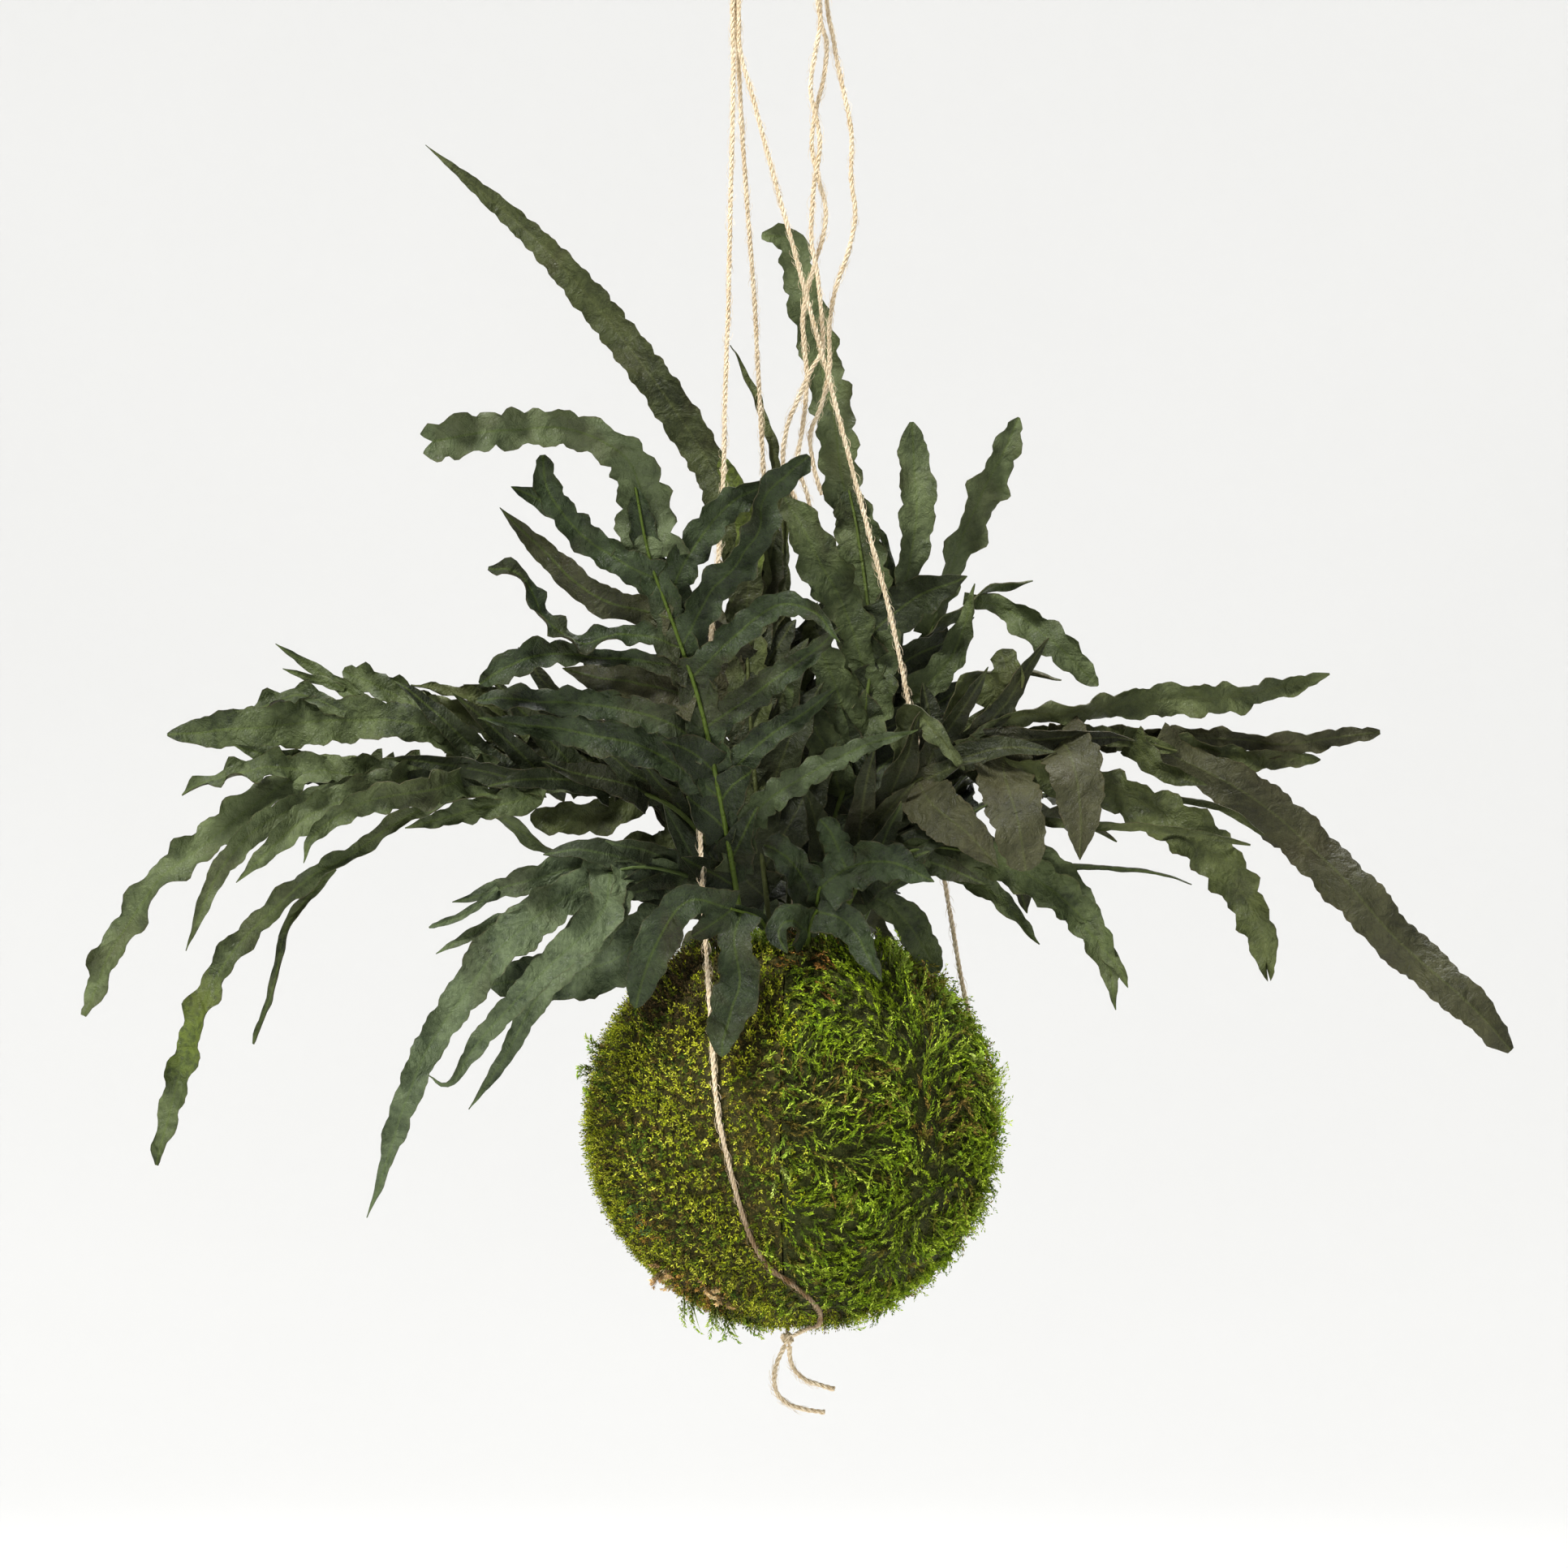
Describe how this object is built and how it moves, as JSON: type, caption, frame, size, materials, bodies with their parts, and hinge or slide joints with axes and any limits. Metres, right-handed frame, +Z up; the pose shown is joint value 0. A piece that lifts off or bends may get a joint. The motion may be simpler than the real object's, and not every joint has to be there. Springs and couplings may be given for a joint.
{
  "type": "kokedama moss ball plant",
  "caption": "Lobed fern planted in a round moss ball that is tied with jute twine and hangs from a twine loop.",
  "frame": {"origin": "the inside of the hanging loop at its top, where the loop bears on the hook that the plant hangs from", "axes": "+Z up along the hang, +X to the right as the plant is seen from its front, +Y towards its back, where the rear fronds grow"},
  "size_m": [0.5061, 0.2788, 0.5956],
  "materials": {
    "soil": "damp dark peat and clay",
    "moss_olive": "short dense living moss, matt",
    "moss_bright": "longer feathery living moss, matt",
    "frond_green": "dark blue-green leaf, faintly glossy, veined",
    "frond_olive": "olive-brown leaf underside, matt, veined",
    "jute": "hairy three-ply jute twine"
  },
  "bodies": {
    "root": {"soil_ball": "soil", "moss_left": "moss_olive", "moss_right": "moss_bright", "moss_back": "moss_olive", "moss_base": "moss_olive", "frond_front": "frond_green", "frond_tall_left": "frond_olive", "frond_upright_right": "frond_green", "frond_right_forked": "frond_green", "frond_right_twisted": "frond_olive", "frond_long_right": "frond_olive", "frond_lower_right": "frond_green", "frond_low_right": "frond_green", "frond_ball_right": "frond_olive", "frond_ball_front": "frond_green", "frond_left_low": "frond_green", "frond_far_left": "frond_green", "frond_left_upper": "frond_olive", "frond_back_spike": "frond_olive", "frond_back_left": "frond_green", "frond_back_middle": "frond_green", "frond_back_right": "frond_olive", "frond_back_low": "frond_green", "string_front": "jute", "string_back": "jute", "string_right": "jute", "slack_string_left": "jute", "slack_string_middle": "jute", "slack_string_right": "jute", "string_tail_long": "jute", "string_tail_short": "jute", "hanging_loop": "jute", "top_knot": "jute", "bottom_knot": "jute"}
  },
  "joints": []
}
